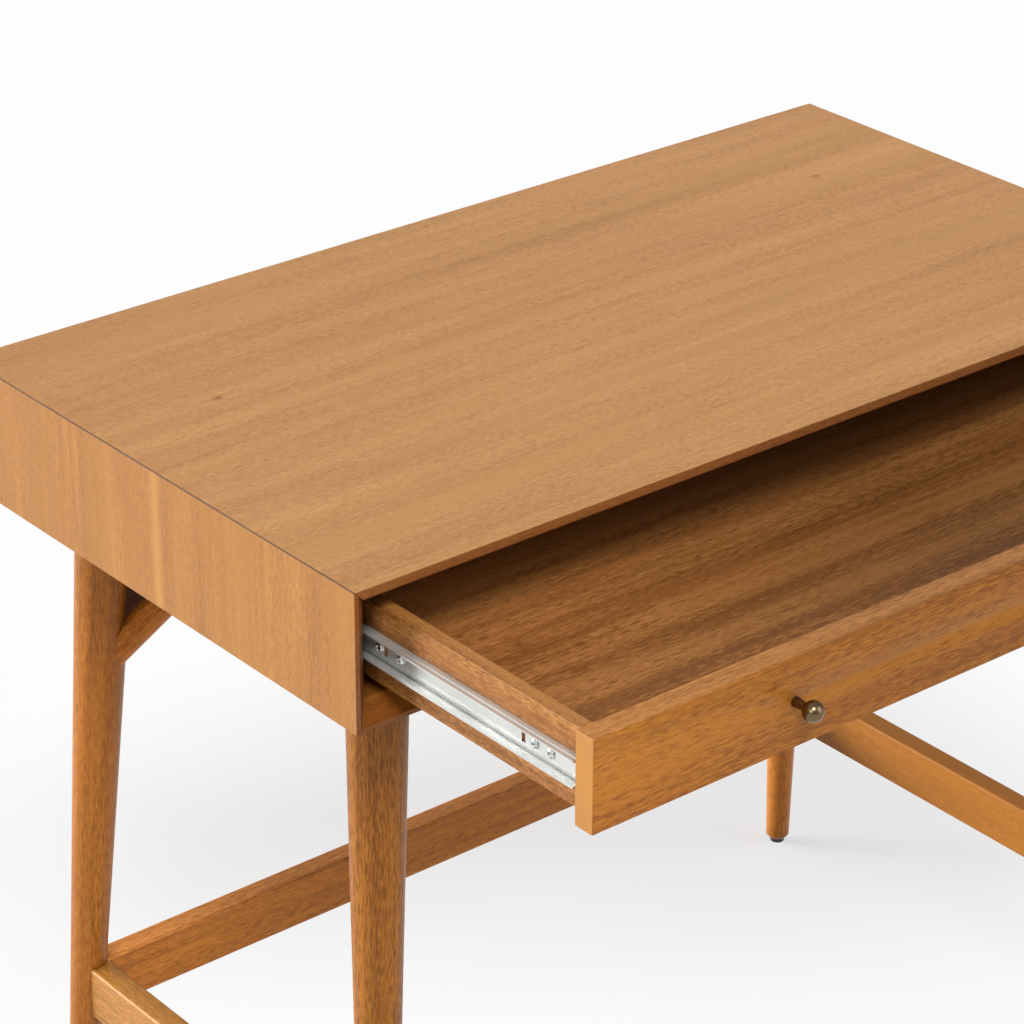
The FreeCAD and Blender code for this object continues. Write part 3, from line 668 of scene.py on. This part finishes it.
def ease_edges():
    """Round the sharp edges of boards a little, as sanding and lacquer do."""
    for name in nodes:
        if name.endswith(("_panel", "_stretcher", "drawer_front", "drawer_side", "drawer_back")):
            piece = nodes[name]
            weld = piece.modifiers.new("weld", "WELD")
            weld.merge_threshold = SAME_POINT
            flat = piece.modifiers.new("flat", "DECIMATE")
            flat.decimate_type = "DISSOLVE"
            flat.angle_limit = math.radians(FLAT_ANGLE)
            easing = piece.modifiers.new("easing", "BEVEL")
            easing.width = EASE_WIDTH
            easing.segments = 2
            easing.limit_method = "ANGLE"
            easing.angle_limit = math.radians(EASE_ANGLE)
            easing.use_clamp_overlap = False
            easing.harden_normals = True


# Screws of the drawer slides, with domed heads and cross recesses, in metres

HEAD_STEPS = 48
HEAD_RINGS = 14
HEAD_DROP = 0.55
RECESS_HALF = 0.00048
RECESS_REACH = 0.0021
RECESS_DEPTH = 0.0012
SCREW_REACH = 0.008
SAME_LEVEL = 0.0001


def screw_places(name):
    """Each screw of a CAD node: its side, its middle in Y and Z, three X values, and two radii.

    The X values are those of the head's face, the head's seat and the tip; the radii are the head's and
    the shank's.
    """
    groups = []
    for vertex in nodes[name].data.vertices:
        point = vertex.co
        for group in groups:
            if (group[0].x > 0) == (point.x > 0) and abs(group[0].y - point.y) < SCREW_REACH:
                group.append(point)
                break
        else:
            groups.append([point])
    for group in groups:
        side = 1 if group[0].x > 0 else -1
        depths = sorted({round(abs(point.x), 5) for point in group})
        ends = [side * depths[-1], side * depths[-2], side * depths[0]]
        middle = [(min(part) + max(part)) / 2 for part in ([p.y for p in group], [p.z for p in group])]
        heads = [p.z for p in group if abs(abs(p.x) - depths[-1]) < SAME_LEVEL]
        shanks = [p.z for p in group if abs(abs(p.x) - depths[0]) < SAME_LEVEL]
        yield side, middle, ends, (max(heads) - min(heads)) / 2, (max(shanks) - min(shanks)) / 2


def recess(across, up):
    """How deep the cross is at a point of the head: 0 outside it, 1 at its floor."""

    def arm(along, beside):
        inside = max(0.0, min(1.0, (RECESS_HALF * 1.4 - abs(beside)) / (RECESS_HALF * 0.8)))
        reach = max(0.0, min(1.0, (RECESS_REACH - abs(along)) / (RECESS_REACH * 0.35)))
        return inside * reach

    return max(arm(across, up), arm(up, across))


def slide_screws(steel):
    """All screws that hold the drawer members, as one piece with the drawer."""
    corners, faces = [], []
    for side, (y, z), (face, seat, tip), head, shank in screw_places("drawer_slide_screws"):
        height = abs(face - seat)
        shank_end = -abs(seat - tip)
        rings = []
        for step in range(HEAD_RINGS + 1):
            part = step / HEAD_RINGS
            rings.append((head * part, height * (1.0 - HEAD_DROP * part ** 3)))
        rings += [(head, 0.0), (shank, 0.0), (shank, shank_end), (0.0, shank_end)]
        first = len(corners)
        for radius, level in rings:
            for turn in range(HEAD_STEPS):
                angle = 2 * math.pi * turn / HEAD_STEPS
                across, up = radius * math.cos(angle), radius * math.sin(angle)
                sunk = RECESS_DEPTH * recess(across, up) if level > 0 else 0.0
                corners.append((seat + side * (level - sunk), y + across, z + up))
        for ring in range(len(rings) - 1):
            here, there = first + ring * HEAD_STEPS, first + (ring + 1) * HEAD_STEPS
            for turn in range(HEAD_STEPS):
                after = (turn + 1) % HEAD_STEPS
                face_corners = (here + turn, there + turn, there + after, here + after)
                faces.append(face_corners if side > 0 else face_corners[::-1])
    mesh = bpy.data.meshes.new("slide_screws")
    mesh.from_pydata(corners, [], faces)
    mesh.materials.append(steel)
    piece = bpy.data.objects.new("slide_screws", mesh)
    scene.collection.objects.link(piece)
    weld = piece.modifiers.new("weld", "WELD")
    weld.merge_threshold = SAME_POINT
    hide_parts("drawer_slide_screws")
    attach(piece, "drawer")


# Camera: its place in metres, its turn, tilt and roll in degrees, and its lens and sensor in millimetres

CAMERA_PLACE = (-1.7650, -1.8891, 1.9418)
CAMERA_YAW = -39.405
CAMERA_PITCH = 26.793
CAMERA_ROLL = 0.212
CAMERA_LENS = 126.59
CAMERA_SENSOR = 36.0
CAMERA_NEAR = 0.05
CAMERA_FAR = 200.0

# Far lamps: the side and height that each one's light comes from, its width in degrees, and its strength
SUNS = (
    ("left window", 132, 12, 20, 3.4),
    ("key over the camera", 237, 56, 22, 2.2),
    ("right front fill", 308, 25, 50, 1.05),
    ("rim light behind the left", 112, 10, 25, 1.4),
)

# Near lamp: its place, the point it is turned to and its size in metres, and its power in watts
WINDOW_PLACE = (-1.6, -0.9, 1.5)
WINDOW_AIM = (-0.43, -0.35, 0.7)
WINDOW_SIZE = 0.7
WINDOW_POWER = 6.0

# The world is brighter towards this side: range of the cosine, and strength at its ends
BACKDROP_SIDE = (-0.35, 0.75, 0.56)
BACKDROP_FALL = (-0.4, 0.9, 0.06, 0.24)
MIRRORED_LIGHT = 0.35

# Floor: half its length in metres, its colours, and how its white gives way to the shadow along a line
FLOOR_HALF = 40.0
FLOOR_DULL = (0.6, 0.6, 0.6, 1.0)
FLOOR_MATT = (0.85, 0.85, 0.85, 1.0)
FLOOR_WHITE = (0.96, 0.96, 0.96, 1.0)
FLOOR_LINE = (0.68, 0.73, 0.0)
FLOOR_FADE = (0.2, 0.55, 1.0, 0.62)


def add_sun(name, azimuth, elevation, angle, strength):
    """Even light from a wide patch of sky. Azimuth is the side it comes from, 0 at +X and 90 at +Y."""
    data = bpy.data.lights.new(name, "SUN")
    data.angle = math.radians(angle)
    data.energy = strength
    lamp = bpy.data.objects.new(name, data)
    scene.collection.objects.link(lamp)
    side, rise = math.radians(azimuth), math.radians(elevation)
    towards = Vector((math.cos(side) * math.cos(rise), math.sin(side) * math.cos(rise), math.sin(rise)))
    lamp.rotation_euler = towards.to_track_quat("Z", "Y").to_euler()


def add_window(name, place, aim, size, power):
    """Square lamp near the desk, whose light falls off across it."""
    data = bpy.data.lights.new(name, "AREA")
    data.size = size
    data.energy = power
    lamp = bpy.data.objects.new(name, data)
    scene.collection.objects.link(lamp)
    lamp.location = place
    lamp.rotation_euler = (Vector(place) - Vector(aim)).to_track_quat("Z", "Y").to_euler()


def floor():
    """A pale floor: white in mirrors, and white to the camera with a shadow that fades to the front."""
    mesh = bpy.data.meshes.new("floor")
    half = FLOOR_HALF
    corners = [(-half, -half, 0), (half, -half, 0), (half, half, 0), (-half, half, 0)]
    mesh.from_pydata(corners, [], [(0, 1, 2, 3)])
    piece = bpy.data.objects.new("floor", mesh)
    scene.collection.objects.link(piece)
    shader = Shader("pale floor")
    path = shader.add("ShaderNodeLightPath")
    dull = shader.add("ShaderNodeBsdfDiffuse", {"Color": FLOOR_DULL}).outputs[0]
    matt = shader.add("ShaderNodeBsdfDiffuse", {"Color": FLOOR_MATT}).outputs[0]
    white = shader.add("ShaderNodeEmission", {"Color": FLOOR_WHITE, "Strength": 1.0}).outputs[0]
    glow = shader.span(shader.dot(shader.place(), FLOOR_LINE), *FLOOR_FADE)
    seen = shader.blend(glow, matt, white)
    unseen = shader.blend(path.outputs["Is Glossy Ray"], dull, white)
    chosen = shader.blend(path.outputs["Is Camera Ray"], unseen, seen)
    shader.set(shader.tree.nodes["Material Output"].inputs["Surface"], chosen)
    mesh.materials.append(shader.material)


def studio():
    """Soft light from a world that is brighter behind and above, from far lamps and from one near lamp.

    The camera sees the world as white, and mirrors see it brighter than it shines on the desk.
    """
    scene.view_settings.view_transform = "Standard"
    world = bpy.data.worlds.new("studio")
    scene.world = world
    world.use_nodes = True
    sky = Tree(world.node_tree)
    background = sky.tree.nodes["Background"]
    look = sky.add("ShaderNodeTexCoord").outputs["Generated"]
    level = sky.span(sky.dot(look, BACKDROP_SIDE), *BACKDROP_FALL)
    path = sky.add("ShaderNodeLightPath")
    mirrored = sky.add(
        "ShaderNodeMath",
        {0: path.outputs["Is Glossy Ray"], 1: MIRRORED_LIGHT, 2: level},
        operation="MULTIPLY_ADD",
    ).outputs[0]
    sky.set(background.inputs["Color"], WHITE)
    sky.set(background.inputs["Strength"], sky.maths("MAXIMUM", mirrored, path.outputs["Is Camera Ray"]))
    for sun in SUNS:
        add_sun(*sun)
    add_window("near left window", WINDOW_PLACE, WINDOW_AIM, WINDOW_SIZE, WINDOW_POWER)


def camera():
    data = bpy.data.cameras.new("photo camera")
    data.sensor_width = CAMERA_SENSOR
    data.lens = CAMERA_LENS
    data.clip_start = CAMERA_NEAR
    data.clip_end = CAMERA_FAR
    piece = bpy.data.objects.new("photo camera", data)
    scene.collection.objects.link(piece)
    turn = Matrix.Rotation(math.radians(CAMERA_YAW), 4, "Z")
    tilt = Matrix.Rotation(math.radians(90 - CAMERA_PITCH), 4, "X")
    roll = Matrix.Rotation(math.radians(CAMERA_ROLL), 4, "Z")
    piece.matrix_world = Matrix.Translation(CAMERA_PLACE) @ turn @ tilt @ roll
    scene.camera = piece


plated_steel = metal("zinc plated steel", STEEL, 0.2, Z_AXIS, SCRATCH)
paint_case()
paint_legs()
paint_drawer()
paint_small_parts(plated_steel)
ease_edges()
slide_screws(plated_steel)
floor()
studio()
camera()
